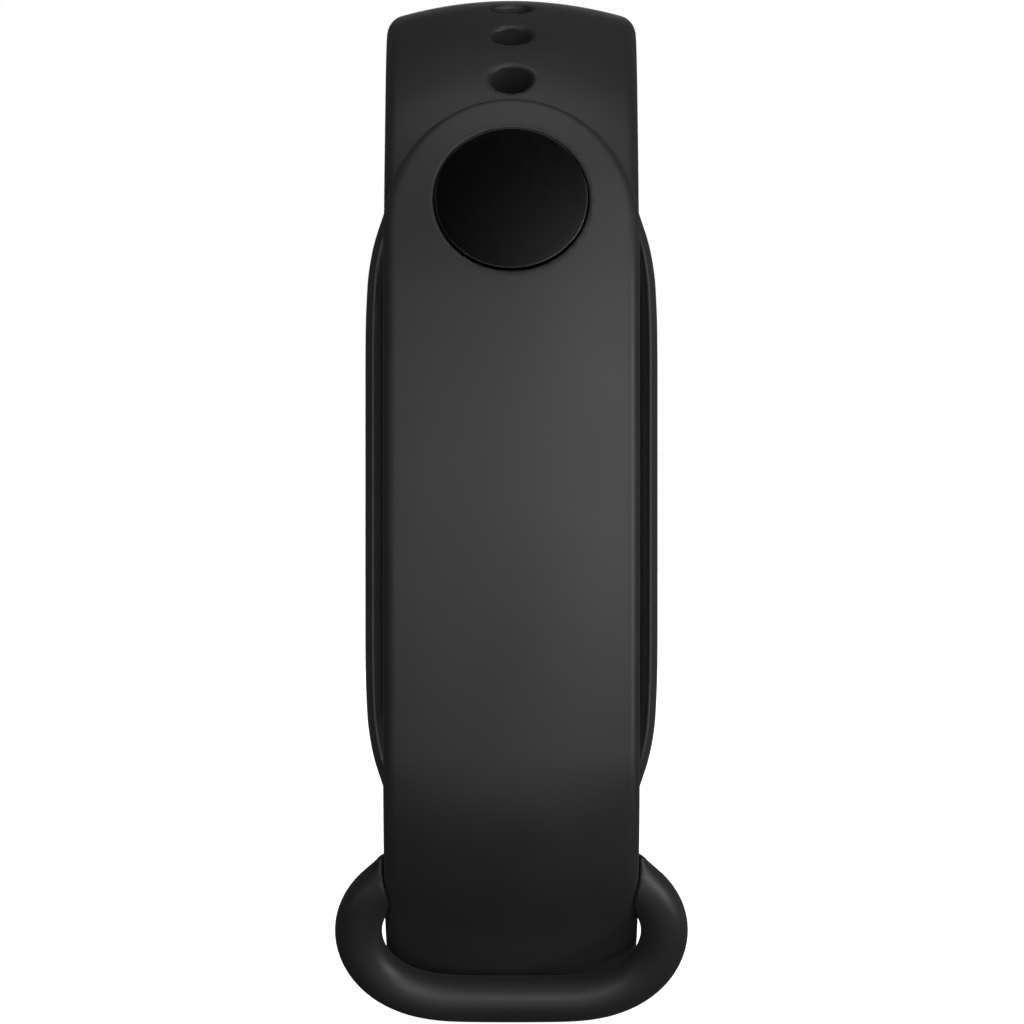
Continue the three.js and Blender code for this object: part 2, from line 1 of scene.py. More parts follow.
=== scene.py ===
# Fitness tracker band, closed, seen from its clasp side. All shapes are made in millimetres in the
# profile frame of the CAD model and moved to the row frame at the end.
import bpy, bmesh, math, json
import numpy as np
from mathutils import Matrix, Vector


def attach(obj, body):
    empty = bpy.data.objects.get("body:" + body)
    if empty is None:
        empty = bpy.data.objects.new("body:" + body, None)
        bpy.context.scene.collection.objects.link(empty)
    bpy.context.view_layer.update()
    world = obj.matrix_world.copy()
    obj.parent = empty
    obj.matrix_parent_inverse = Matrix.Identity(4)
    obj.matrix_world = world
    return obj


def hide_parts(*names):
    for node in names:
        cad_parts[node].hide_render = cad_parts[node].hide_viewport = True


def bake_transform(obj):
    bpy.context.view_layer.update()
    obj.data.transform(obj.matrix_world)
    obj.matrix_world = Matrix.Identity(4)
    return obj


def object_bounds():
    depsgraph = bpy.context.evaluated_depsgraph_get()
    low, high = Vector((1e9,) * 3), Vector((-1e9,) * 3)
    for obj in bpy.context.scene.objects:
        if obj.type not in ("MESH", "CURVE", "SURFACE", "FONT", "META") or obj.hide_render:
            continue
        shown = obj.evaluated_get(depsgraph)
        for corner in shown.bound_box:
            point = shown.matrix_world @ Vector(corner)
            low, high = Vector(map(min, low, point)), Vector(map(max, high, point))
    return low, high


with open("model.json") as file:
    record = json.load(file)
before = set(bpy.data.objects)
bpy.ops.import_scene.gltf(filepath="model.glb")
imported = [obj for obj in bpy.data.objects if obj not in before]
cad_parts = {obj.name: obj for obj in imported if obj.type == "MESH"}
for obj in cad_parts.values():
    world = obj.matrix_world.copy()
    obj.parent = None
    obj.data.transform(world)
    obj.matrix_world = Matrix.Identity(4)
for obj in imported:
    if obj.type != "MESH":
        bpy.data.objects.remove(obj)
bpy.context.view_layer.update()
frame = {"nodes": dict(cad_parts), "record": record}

OY, OZ = 14.25, 0.8  # the row frame's origin in the profile frame
D = math.pi / 180


def to_row(p):
    q = np.array(p, float).reshape(-1, 3).copy()
    q[:, 1] -= OY
    q[:, 2] -= OZ
    return q * 0.001


# ------------------------------------------------------------------ camera
scene = bpy.context.scene
cam_data = bpy.data.cameras.new("camera")
cam = bpy.data.objects.new("camera", cam_data)
scene.collection.objects.link(cam)
FOCAL_PX, CAM_Y = 6786.0, -480.1
cam_data.sensor_width = 36.0
cam_data.lens = 36.0 * FOCAL_PX / 1024.0
cam.location = (0.00004, (CAM_Y - OY) * 0.001, (0.0 - OZ) * 0.001)
cam.rotation_euler = (math.pi / 2, 0, 0)
cam_data.clip_start, cam_data.clip_end = 0.01, 20.0
scene.camera = cam
scene.view_settings.view_transform = "Standard"
scene.view_settings.look = "None"


# ------------------------------------------------------------------ side profile
def chain(start, a0, arcs):
    """Tangent arcs from a point: arcs are (radius, end angle). Gives (cy, cz, r, a_low, a_high) and the end."""
    out, p, a = [], np.array(start, float), a0
    for r, end in arcs:
        n = np.array([-math.cos(a * D), math.sin(a * D)])
        c = p - r * n
        out.append((c[0], c[1], r, min(a, end), max(a, end)))
        n2 = np.array([-math.cos(end * D), math.sin(end * D)])
        p, a = c + r * n2, end
    return out, p


TOP = (-3.0, 11.2, 24.69)
MID_R, MH, LOW_R = 110.0, 8.0, 15.5
MID = (TOP[0] + (MID_R - TOP[2]) * math.cos(MH * D), TOP[1] - (MID_R - TOP[2]) * math.sin(MH * D))
LOW = (MID[0] - (MID_R - LOW_R) * math.cos(MH * D), MID[1] - (MID_R - LOW_R) * math.sin(MH * D))
TAB = 2.3  # the stud strap's outer surface above the hole strap's
TAB_T = 2.0


def profile(off, top_root, low_root, low_end):
    arcs = []
    if low_root:
        start = (LOW[0] - (LOW_R + off) * math.cos(low_end * D), LOW[1] + (LOW_R + off) * math.sin(low_end * D))
        root, _ = chain(start, low_end, low_root)
        arcs += root[::-1]
    arcs.append((LOW[0], LOW[1], LOW_R + off, low_end, -MH))
    arcs.append((MID[0], MID[1], MID_R + off, -MH, MH))
    arcs.append((TOP[0], TOP[1], TOP[2] + off, MH, 90))
    if top_root:
        root, _ = chain((TOP[0], TOP[1] + TOP[2] + off), 90, top_root)
        arcs += root
    out, s = [], 0.0
    for c in arcs:
        out.append((*c, s))
        s += (c[4] - c[3]) * D * c[2]
    return out, s


def local(arcs, y, z):
    """(s along the profile, n outwards from it) of points; the chain's two ends are carried on."""
    best = np.full(y.shape, 1e9)
    s = np.zeros_like(y)
    n = np.full(y.shape, 50.0)
    last = len(arcs) - 1
    for i, (cy, cz, r, a0, a1, s0) in enumerate(arcs):
        dy, dz = y - cy, z - cz
        a = np.degrees(np.arctan2(dz, -dy))
        mid = (a0 + a1) / 2
        a = (a - mid + 180) % 360 - 180 + mid
        rad = np.hypot(dy, dz) - r
        lo = a0 - (30 if i == 0 else 1e-6)
        hi = a1 + (25 if i == last else 1e-6)
        ok = (a >= lo) & (a <= hi) & (np.abs(rad) < best)
        best = np.where(ok, np.abs(rad), best)
        s = np.where(ok, s0 + (a - a0) * D * r, s)
        n = np.where(ok, rad, n)
    return s, n


def s_of(arcs, angle):
    for cy, cz, r, a0, a1, s0 in arcs:
        if a0 - 1e-9 <= angle <= a1 + 1e-9:
            return s0 + (angle - a0) * D * r
    raise ValueError(angle)


def point(arcs, s, off=0.0):
    for i, (cy, cz, r, a0, a1, s0) in enumerate(arcs):
        length = (a1 - a0) * D * r
        if s <= s0 + length or i == len(arcs) - 1:
            a = (a0 * D) + (s - s0) / r
            n = np.array([0.0, -math.cos(a), math.sin(a)])
            return np.array([0.0, cy, cz]) + (r + off) * n, n


HOLE, HOLE_LEN = profile(0.0, [(70, 102), (15, 165)], None, -36)
STUD, STUD_LEN = profile(TAB, None, [(27, -90), (155, -98), (11, -165)], -60)
HOLE_0 = 21.5
PITCH = 5.62


# ------------------------------------------------------------------ distance fields
def smin(a, b, k):
    h = np.clip(0.5 + 0.5 * (b - a) / k, 0, 1)
    return b + (a - b) * h - k * h * (1 - h)


def smax(a, b, k):
    return -smin(-a, -b, k)


def smooth01(t):
    t = np.clip(t, 0, 1)
    return t * t * (3 - 2 * t)


def slab(x, n, W, T, eo, ei, crown=28.0, concave=False):
    ax = np.minimum(np.abs(x), W + 1.5)
    u = n + ax * ax / (2 * crown)
    if concave:
        um, hx = -T / 2, T / 2
    else:
        inner = -T + ax * ax / (2 * crown)
        um, hx = inner / 2, -inner / 2
    e = np.where(u > um, eo, ei)
    a = np.abs(x) - W + e
    b = np.abs(u - um) - hx + e
    return np.minimum(np.maximum(a, b), 0) + np.hypot(np.maximum(a, 0), np.maximum(b, 0)) - e


# half width of the cradle at a distance from its middle, smoothed
_t = np.arange(0, 30, 0.05)
_h = np.interp(_t, [0, 10.4, 13.4, 16.3, 17.8, 19.1, 19.8, 20.6, 21.4, 22.3, 23.3, 24.6, 30],
               [10.755, 10.755, 10.725, 10.585, 10.365, 10.085, 9.855, 9.575, 9.305, 9.055, 8.86, 8.75, 8.56])
_full = np.concatenate([_h[:0:-1], _h])
_g = np.exp(-0.5 * (np.arange(-40, 41) * 0.05 / 0.55) ** 2)
_full = np.convolve(np.pad(_full, 40, mode="edge"), _g / _g.sum(), mode="valid")
_h = _full[len(_full) // 2:]
_dh = np.gradient(_h, 0.05)
RING_END = 25.4
RING_Y0, RING_Y1, LIP_Y = 15.5, 24.6, 22.3
BORE_R, LIP_R = 9.25, 8.45
CREST = 0.62  # the wrist-side crest lies this far inside the outline


def outline(x, z):
    az = np.abs(z - 0.8)
    h = np.interp(az, _t, _h)
    dh = np.interp(az, _t, _dh)
    side = (np.abs(x) - h) / np.sqrt(1 + dh * dh)
    return smax(side, az - RING_END, 2.2)


def pill_r(x, z):
    return np.hypot(x, np.maximum(np.abs(z - 0.8) - 14.4, 0))


def cut_pill(d, x, y, z):
    """Bore and lip for the capsule, and the wrist-side face that falls away inwards from a narrow crest."""
    p = pill_r(x, z)
    bore = np.minimum(p - LIP_R, np.maximum(p - BORE_R, y - LIP_Y))
    bore = np.maximum(bore, 11.0 - y)
    d2 = outline(x, z)
    slope = (y - RING_Y0 - 0.75 * (-d2 - CREST)) / 1.25
    slope = np.maximum(np.maximum(slope, d2 + 0.3), 11.0 - y)
    return smax(smax(d, -slope, 0.14), -bore, 0.3)


def half_width(y, z, base):
    """Half width of the moulding: the straps' own, widening into the cradle's outline."""
    h = np.interp(np.abs(z - 0.8), _t, _h)
    return base + (h - base) * smooth01((y - 11.0) / 4.0)


def round_join(a, b, e):
    """Inside both a and b, with their common edge rounded to radius e."""
    a, b = a + e, b + e
    return np.minimum(np.maximum(a, b), 0) + np.hypot(np.maximum(a, 0), np.maximum(b, 0)) - e


# keeper loop: a bowed oval of round section in a leaning plane
LA, LB = np.array([0, -24.25, -21.2]), np.array([0, -17.5, -33.2])
L_AX = (LB - LA) / np.linalg.norm(LB - LA)
L_N = np.array([0, L_AX[2], -L_AX[1]])
L_LEN = np.linalg.norm(LB - LA)
L_WIDE = 0.594
L_C = LA + L_AX * L_LEN * L_WIDE
L_TUBE = 1.6
L_SERIES = (7.8132, -0.0766, -2.3279, -0.1181, 0.2483, 0.0126, 0.0215, 0.022, -0.0058, -0.0074, -0.0016)


def loop_curve(n):
    a = np.linspace(0, 2 * np.pi, n, endpoint=False)
    r = sum(c * np.cos(k * (a - np.pi / 2)) for k, c in enumerate(L_SERIES))
    return np.stack([r * np.cos(a), r * np.sin(a)], 1)


_loop = loop_curve(6000)
_seg = np.linalg.norm(np.diff(np.vstack([_loop, _loop[:1]]), axis=0), axis=1)
_cum = np.concatenate([[0], np.cumsum(_seg)])
_u = np.linspace(0, _cum[-1], 900, endpoint=False)
_closed = np.vstack([_loop, _loop[:1]])
_loop = np.stack([np.interp(_u, _cum, _closed[:, 0]), np.interp(_u, _cum, _closed[:, 1])], 1)


def loop(x, y, z):
    rel_y, rel_z = y - L_C[1], z - L_C[2]
    v = rel_y * L_AX[1] + rel_z * L_AX[2]
    w = rel_y * L_N[1] + rel_z * L_N[2]
    out = np.full(x.shape, 9.0)
    near = (np.abs(w) < 6) & (v > -12) & (v < 11)
    idx = np.nonzero(near.ravel())[0]
    X, V, W = np.abs(x).ravel()[idx], v.ravel()[idx], w.ravel()[idx]
    half = _loop[_loop[:, 0] >= -0.2]
    res = np.empty(len(idx))
    for i in range(0, len(idx), 20000):
        dx = X[i:i + 20000, None] - half[None, :, 0]
        dv = V[i:i + 20000, None] - half[None, :, 1]
        res[i:i + 20000] = np.sqrt((dx * dx + dv * dv).min(1))
    o = out.ravel()
    o[idx] = np.hypot(res, W) - L_TUBE
    return o.reshape(x.shape)


TIP_BASE, TIP_END = 18.6, 38.8
STRAP_W = 8.57


def band_2d(x, n, T, crown=28.0, concave=False):
    """Distance through the strap's thickness, and which side of its middle a point is on."""
    ax = np.minimum(np.abs(x), 10.0)
    u = n + ax * ax / (2 * crown)
    inner = -T if concave else -T + ax * ax / (2 * crown)
    mid = inner / 2
    return np.abs(u - mid) + mid, u > mid


def stud_strap(x, y, z, grow=0.0, s_lo=None, s_hi=None, tip=True):
    s, n = local(STUD, y, z)
    sb = s_of(STUD, TIP_BASE)
    blen = (TIP_END - TIP_BASE) * D * (TOP[2] + TAB)
    root = smooth01((s_of(STUD, -98) - 2 - s) / 12.0)
    ax = np.abs(x)
    h = half_width(y, z, STRAP_W)
    dh = np.interp(np.abs(z - 0.8), _t, _dh) * smooth01((y - 11.0) / 4.0)
    d2 = (ax - h) / np.sqrt(1 + dh * dh) - grow
    if tip:
        a, b = STRAP_W + grow, blen + grow
        up = np.maximum(s - sb, 0)
        k0 = np.sqrt((ax / a) ** 2 + (up / b) ** 2) + 1e-9
        k1 = np.sqrt((ax / a ** 2) ** 2 + (up / b ** 2) ** 2) + 1e-9
        d2 = np.where(s > sb, k0 * (k0 - 1) / k1, d2)
    T = TAB_T + 2 * grow + 0.8 * root
    axc = np.minimum(ax, 10.0)
    u = n - grow + axc * axc / 56.0
    e = np.where(u > -T / 2, 0.8, 0.3)
    d = round_join(d2, np.abs(u + T / 2) - T / 2, e)
    if s_lo is not None:
        d = np.maximum(d, s_lo - s)
    if s_hi is not None:
        d = np.maximum(d, s - s_hi)
    return d


def hole_strap_2d(x, y, z):
    """The hole strap through its thickness, its run along the profile, and its taper towards the cradle."""
    s, n = local(HOLE, y, z)
    t = smooth01((s - s_of(HOLE, 35)) / (s_of(HOLE, 90) - s_of(HOLE, 35)))
    T = 2.4 + 0.5 * t + 0.4 * smooth01((s - s_of(HOLE, 102)) / 14)
    ax = np.minimum(np.abs(x), 10.0)
    u = n + ax * ax / 56.0 + 0.025 * t
    inner = -T + ax * ax / 56.0
    mid = inner / 2
    return np.abs(u - mid) + mid, u > mid, s, t


PUNCHED = [k for k in range(-6, 6)]
S0 = s_of(HOLE, HOLE_0)


def cradle_2d(y, z, re=1.4, ri=0.6):
    mid, H = (RING_Y0 + RING_Y1) / 2, (RING_Y1 - RING_Y0) / 2
    e = np.where(y > mid, re, ri)
    return round_join(np.abs(z - 0.8) - RING_END, np.abs(y - mid) - H, e)


def moulding(x, y, z):
    strap, outer, s, t = hole_strap_2d(x, y, z)
    strap = np.maximum(strap, s - s_of(HOLE, 160))
    frame_yz = cradle_2d(y, z)
    # the stud strap's root, a hair under its skin
    s2, n2 = local(STUD, y, z)
    T2 = TAB_T + 0.8 * smooth01((s_of(STUD, -98) - 2 - s2) / 12.0)
    axc = np.minimum(np.abs(x), 10.0)
    u2 = n2 + axc * axc / 56.0
    stub = np.abs(u2 + T2 / 2) - T2 / 2 + 0.03
    stub = np.maximum(np.maximum(stub, s_of(STUD, -155) - s2), s2 - s_of(STUD, -94))
    body = smin(frame_yz, stub, 4.0)
    body = smin(body, strap, 4.0)
    h = half_width(y, z, STRAP_W + 0.1 * t)
    dh = np.interp(np.abs(z - 0.8), _t, _dh) * smooth01((y - 11.0) / 4.0)
    low = smooth01((-z - 20.0) / 3.0) * 0.03
    # the cradle's side walls lean in towards the wrist
    lean = 0.5 * np.clip((19.5 - y) / 4.0, 0, 1.3) ** 2 * smooth01((y - 13.5) / 1.5)
    side = (np.abs(x) - h) / np.sqrt(1 + dh * dh) + low + lean * smooth01((25.8 - np.abs(z - 0.8)) / 1.5)
    near = smooth01((y - 8.0) / 8.0)
    front = smooth01((y - 18.5) / 3.0)
    e_strap = np.where(outer, 0.66 + 0.3 * t, 0.4)
    e = e_strap * (1 - near) + near * (0.2 + 1.2 * front)
    d = round_join(side, body, e)
    d = np.maximum(d, np.where(y < 0, -s, -9.0))
    d = smin(d, loop(x, y, z), 1.0 + 1.9 * smooth01((-22.1 - z) / 1.2))
    # the stud strap's way over the keeper's upper bar
    way = stud_strap(x, y, z, grow=0.07, tip=False)
    way = np.maximum(way, s2 - s_of(STUD, -4))
    way = np.maximum(way, np.maximum(z + 4, y + 2))
    d = smax(d, -way, 0.15)
    for k in PUNCHED:
        sk = S0 + k * PITCH
        if sk > s_of(HOLE, 84):
            continue
        c = np.where((np.abs(s - sk) < 4) & (y < 0), np.hypot(x, s - sk) - 1.5, 5.0)
        d = smax(d, -c, 0.12)
    return cut_pill(d, x, y, z)


SEAT_R, SEAT_D = 5.2, 1.25


def on_normal(x, y, z, angle, off):
    """Coordinates about the outward normal of the hole strap's surface: (radius, height above off)."""
    n = np.array([-math.cos(angle * D), math.sin(angle * D)])
    c = np.array([TOP[0], TOP[1]]) + (TOP[2] + off) * n
    dy, dz = y - c[0], z - c[1]
    h = dy * n[0] + dz * n[1]
    t = dy * n[1] - dz * n[0]
    return np.hypot(x, t), h


def tab_strap(x, y, z):
    d = stud_strap(x, y, z, s_lo=s_of(STUD, -150))
    r, h = on_normal(x, y, z, HOLE_0, TAB - SEAT_D)
    seat = np.maximum(r - SEAT_R, -h)
    d = smax(d, -seat, 0.14)
    s, n = local(STUD, y, z)
    return d + 0.16 * smooth01((s_of(STUD, -150) + 4.5 - s) / 4.5)


# ------------------------------------------------------------------ surface nets
CORN = np.array([[i, j, k] for i in (0, 1) for j in (0, 1) for k in (0, 1)])
EDG = [(a, b) for a in range(8) for b in range(a + 1, 8) if np.abs(CORN[a] - CORN[b]).sum() == 1]


def net(f, lo, hi, h, blk=4):
    lo, hi = np.array(lo, float), np.array(hi, float)
    nb = np.ceil((hi - lo) / (h * blk)).astype(int)
    n = nb * blk + 1
    H = h * blk
    ax = [lo[i] + (np.arange(nb[i]) + 0.5) * H for i in range(3)]
    X, Y, Z = np.meshgrid(*ax, indexing="ij")
    C = f(X.ravel(), Y.ravel(), Z.ravel()).reshape(X.shape)
    F = np.where(C < 0, -1.0, 1.0).repeat(blk, 0).repeat(blk, 1).repeat(blk, 2)
    Dn = np.ones(n, np.float32)
    Dn[:-1, :-1, :-1] = F
    keep = np.argwhere(np.abs(C) < H * 1.35)
    off = np.array([[i, j, k] for i in range(blk + 1) for j in range(blk + 1) for k in range(blk + 1)])
    ids = (keep[:, None, :] * blk + off[None]).reshape(-1, 3)
    flat = np.unique(np.ravel_multi_index(ids.T, n))
    ijk = np.array(np.unravel_index(flat, n)).T
    P = lo + ijk * h
    vals = np.empty(len(P), np.float32)
    for i in range(0, len(P), 400000):
        q = P[i:i + 400000]
        vals[i:i + 400000] = f(q[:, 0], q[:, 1], q[:, 2])
    Dn.ravel()[flat] = vals
    S = Dn < 0
    a = S[:-1, :-1, :-1]
    mix = np.zeros(a.shape, bool)
    for c in CORN[1:]:
        mix |= S[c[0]:c[0] + a.shape[0], c[1]:c[1] + a.shape[1], c[2]:c[2] + a.shape[2]] != a
    cells = np.argwhere(mix)
    vid = np.full(a.shape, -1, np.int32)
    vid[tuple(cells.T)] = np.arange(len(cells))
    cd = np.stack([Dn[tuple((cells + c).T)] for c in CORN], 1)
    acc = np.zeros((len(cells), 3))
    cnt = np.zeros(len(cells))
    for i, j in EDG:
        cr = (cd[:, i] < 0) != (cd[:, j] < 0)
        t = cd[:, i] / np.where(cr, cd[:, i] - cd[:, j], 1)
        p = CORN[i] + t[:, None] * (CORN[j] - CORN[i])
        acc += np.where(cr[:, None], p, 0)
        cnt += cr
    verts = lo + (cells + acc / cnt[:, None]) * h
    quads = []
    for k in range(3):
        u, v = (k + 1) % 3, (k + 2) % 3
        sl0 = [slice(None)] * 3
        sl1 = [slice(None)] * 3
        sl0[k], sl1[k] = slice(0, -1), slice(1, None)
        s0, s1 = S[tuple(sl0)], S[tuple(sl1)]
        e = np.argwhere(s0 != s1)
        e = e[(e[:, u] > 0) & (e[:, v] > 0) & (e[:, u] < n[u] - 1) & (e[:, v] < n[v] - 1)]
        inside = s0[tuple(e.T)]
        q = []
        for du, dv in ((-1, -1), (0, -1), (0, 0), (-1, 0)):
            c = e.copy()
            c[:, u] += du
            c[:, v] += dv
            q.append(vid[tuple(c.T)])
        q = np.stack(q, 1)
        q[~inside] = q[~inside][:, ::-1]
        quads.append(q)
    quads = np.concatenate(quads)
    return verts, quads


def grad(f, p, eps=0.015):
    g = np.empty_like(p)
    for k in range(3):
        a, b = p.copy(), p.copy()
        a[:, k] += eps
        b[:, k] -= eps
        g[:, k] = (f(a[:, 0], a[:, 1], a[:, 2]) - f(b[:, 0], b[:, 1], b[:, 2])) / (2 * eps)
    return g


def settle(f, verts, quads, rounds=3):
    p = verts
    a = quads[:, [0, 1, 2, 3]].ravel()
    b = quads[:, [1, 2, 3, 0]].ravel()
    deg = np.bincount(a, minlength=len(p)) + np.bincount(b, minlength=len(p))
    for r in range(rounds):
        g = grad(f, p)
        l2 = np.maximum((g * g).sum(1), 0.25)
        d = f(p[:, 0], p[:, 1], p[:, 2])
        step = -(d / l2)[:, None] * g
        ln = np.linalg.norm(step, axis=1)
        step *= np.minimum(1, 0.12 / np.maximum(ln, 1e-9))[:, None]
        p = p + step
        if r < rounds - 1:
            mean = np.stack([np.bincount(a, p[b, k], len(p)) + np.bincount(b, p[a, k], len(p)) for k in range(3)], 1) / deg[:, None]
            mv = mean - p
            n = g / np.sqrt(l2)[:, None]
            mv -= (mv * n).sum(1)[:, None] * n
            p = p + 0.6 * mv
    return p, g


def mesh_object(name, verts_row, faces, smooth=True):
    me = bpy.data.meshes.new(name)
    me.from_pydata([tuple(v) for v in verts_row], [], [tuple(int(i) for i in q) for q in faces])
    me.validate(clean_customdata=False)
    me.update()
    if smooth:
        me.shade_smooth()
    ob = bpy.data.objects.new(name, me)
    scene.collection.objects.link(ob)
    return ob


def fast_mesh(name, verts_row, quads):
    me = bpy.data.meshes.new(name)
    nv, nq = len(verts_row), len(quads)
    me.vertices.add(nv)
    me.vertices.foreach_set("co", verts_row.astype(np.float32).ravel())
    me.loops.add(nq * 4)
    me.loops.foreach_set("vertex_index", quads.astype(np.int32).ravel())
    me.polygons.add(nq)
    me.polygons.foreach_set("loop_start", np.arange(0, nq * 4, 4, dtype=np.int32))
    me.update(calc_edges=True)
    me.validate()
    me.shade_smooth()
    ob = bpy.data.objects.new(name, me)
    scene.collection.objects.link(ob)
    return ob


def sdf_object(name, f, lo, hi, h, rounds=3):
    v, q = net(f, lo, hi, h)
    v, g = settle(f, v, q, rounds)
    return fast_mesh(name, to_row(v), q)


import time
_t0 = time.time()
STEP = 0.24
band_ob = sdf_object("band_moulding", moulding, (-12.6, -30.5, -36), (12.6, 25.6, 37), STEP)
print("band", len(band_ob.data.vertices), round(time.time() - _t0, 1))
tab_ob = sdf_object("stud_strap", tab_strap, (-9.3, -31.8, -33), (9.3, 24.5, 30), STEP)
print("tab", len(tab_ob.data.vertices), round(time.time() - _t0, 1))


# ------------------------------------------------------------------ swept pieces
def pill_path(r, straight=14.4, seg=40, rows=24):
    """Points round a pill of end radius r in XZ, anticlockwise seen from -Y, with outward normals."""
    pts, nrm = [], []
    for i in range(seg + 1):
        a = math.pi * i / seg
        pts.append((r * math.cos(a), straight + r * math.sin(a)))
        nrm.append((math.cos(a), math.sin(a)))
    for i in range(1, rows):
        pts.append((-r, straight - 2 * straight * i / rows))
        nrm.append((-1, 0))
    for i in range(seg + 1):
        a = math.pi + math.pi * i / seg
        pts.append((r * math.cos(a), -straight + r * math.sin(a)))
        nrm.append((math.cos(a), math.sin(a)))
    for i in range(1, rows):
        pts.append((r, -straight + 2 * straight * i / rows))
        nrm.append((1, 0))
    return np.array(pts), np.array(nrm)


def pill_solid(name, prof, straight=14.4, closed=False):
    """prof: list of (radius, y). Radius 0 closes the solid on the pill's middle line."""
    rings, faces, verts = [], [], []
    base, nrm = pill_path(1.0, straight)
    m = len(base)
    for r, y in prof:
        pts = base - nrm * (1.0 - r)
        rings.append(len(verts))
        verts += [(p[0], y, p[1] + 0.8) for p in pts]
    pairs = list(zip(rings, rings[1:]))
    if closed:
        pairs.append((rings[-1], rings[0]))
    for a, b in pairs:
        for i in range(m):
            j = (i + 1) % m
            faces.append((a + i, a + j, b + j, b + i))
    ob = mesh_object(name, to_row(verts), faces)
    bm = bmesh.new()
    bm.from_mesh(ob.data)
    bmesh.ops.remove_doubles(bm, verts=bm.verts, dist=2e-6)
    bmesh.ops.dissolve_degenerate(bm, edges=bm.edges, dist=1e-7)
    bmesh.ops.recalc_face_normals(bm, faces=bm.faces)
    bm.to_mesh(ob.data)
    bm.free()
    ob.data.shade_smooth()
    return ob


def fillet(p, q, c, n=5):
    """Quarter-round points from p to q about centre c."""
    a0 = math.atan2(p[1] - c[1], p[0] - c[0])
    a1 = math.atan2(q[1] - c[1], q[0] - c[0])
    while a1 - a0 > math.pi: a1 -= 2 * math.pi
    while a1 - a0 < -math.pi: a1 += 2 * math.pi
    r = math.hypot(p[0] - c[0], p[1] - c[1])
    return [(c[0] + r * math.cos(a0 + (a1 - a0) * i / n), c[1] + r * math.sin(a0 + (a1 - a0) * i / n)) for i in range(n + 1)]


def lathe(name, prof, angle=None, off=0.0, centre=None, seg=96):
    """Round solid about the hole strap's normal at an angle, or about Y through centre (x, z)."""
    verts, faces = [], []
    for r, h in prof:
        for i in range(seg):
            a = 2 * math.pi * i / seg
            verts.append((r * math.cos(a), r * math.sin(a), h))
    verts = np.array(verts)
    for k in range(len(prof) - 1):
        for i in range(seg):
            j = (i + 1) % seg
            faces.append((k * seg + i, k * seg + j, (k + 1) * seg + j, (k + 1) * seg + i))
    if angle is not None:
        n = np.array([0, -math.cos(angle * D), math.sin(angle * D)])
        t = np.array([0, math.sin(angle * D), math.cos(angle * D)])
        c = np.array([0, TOP[0], TOP[1]]) + (TOP[2] + off) * n
        P = c + verts[:, :1] * np.array([1.0, 0, 0]) + verts[:, 1:2] * t + verts[:, 2:] * n
    else:
        P = np.stack([centre[0] + verts[:, 0], verts[:, 2], centre[1] + verts[:, 1]], 1)
    ob = mesh_object(name, to_row(P), faces)
    bm = bmesh.new()
    bm.from_mesh(ob.data)
    bmesh.ops.remove_doubles(bm, verts=bm.verts, dist=2e-6)
    bmesh.ops.dissolve_degenerate(bm, edges=bm.edges, dist=1e-7)
    bmesh.ops.recalc_face_normals(bm, faces=bm.faces)
    bm.to_mesh(ob.data)
    bm.free()
    ob.data.shade_smooth()
    return ob


# stud cap: flat back, rounded shoulder, gently domed polished face
CR, CB = 5.13, TAB - SEAT_D + 0.3
prof = [(0, 0), (CR - 0.2, 0)] + fillet((CR - 0.2, 0), (CR, 0.2), (CR - 0.2, 0.2), 4)
prof += fillet((CR, 0.53), (CR - 0.09, 0.62), (CR - 0.09, 0.53), 6)
R_DOME = 60.0
z0 = 0.62
for i in range(1, 15):
    r = (CR - 0.09) * (1 - i / 14)
    h = z0 + (math.sqrt(R_DOME ** 2 - r * r) - math.sqrt(R_DOME ** 2 - (CR - 0.09) ** 2))
    prof.append((r, h))
cap_ob = lathe("stud_cap_polished", prof, HOLE_0, CB)

# front glass with curved rim
NR = 8.25
prof = [(0, 25.9), (NR - 0.2, 25.9)] + fillet((NR - 0.2, 25.9), (NR, 26.1), (NR - 0.2, 26.1), 3)
for i in range(1, 15):
    a = i / 14 * math.pi / 2
    prof.append((NR - 2.0 * (1 - math.cos(a)), 26.15 + 0.75 * math.sin(a)))
prof += [(NR - 3.5, 26.9), (NR - 5.5, 26.9), (0, 26.9)]
glass_ob = pill_solid("front_glass_domed", prof)

# middle frame: outer wall, shoulder and neck, open through the middle
R1 = 9.05
prof = [(R1 - 0.9, 18.3)] + fillet((R1 - 0.15, 18.3), (R1, 18.45), (R1 - 0.15, 18.45), 3)
prof += fillet((R1, 21.8), (R1 - 0.2, 22.0), (R1 - 0.2, 21.8), 4)
prof += fillet((NR + 0.12, 22.0), (NR, 22.12), (NR + 0.12, 22.12), 3)
prof += fillet((NR, 25.45), (NR - 0.15, 25.6), (NR - 0.15, 25.45), 4)
prof += [(NR - 0.7, 25.6), (NR - 0.7, 21.3), (R1 - 0.9, 21.3)]
frame_ob = pill_solid("middle_frame_shell", prof, closed=True)


# rear housing: a shallow cup with the sensor window and contact wells, as a distance field
def rear(x, y, z):
    p = pill_r(x, z)
    H0, H1 = 14.6, 17.4
    mid, H = (H0 + H1) / 2, (H1 - H0) / 2
    e = np.where(y > mid, 0.15, 1.1)
    a, b = p - R1 + e, np.abs(y - mid) - H + e
    d = np.minimum(np.maximum(a, b), 0) + np.hypot(np.maximum(a, 0), np.maximum(b, 0)) - e
    d = smax(d, -np.maximum(p - (R1 - 0.9), 15.6 - y), 0.15)
    win = np.hypot(x, z - 0.8) - 4.55
    d = smax(d, -win, 0.2)
    for cx in (-3.0, 3.0):
        d = smax(d, -(np.hypot(x - cx, z - 0.8 + 16) - 1.45), 0.15)
    return d


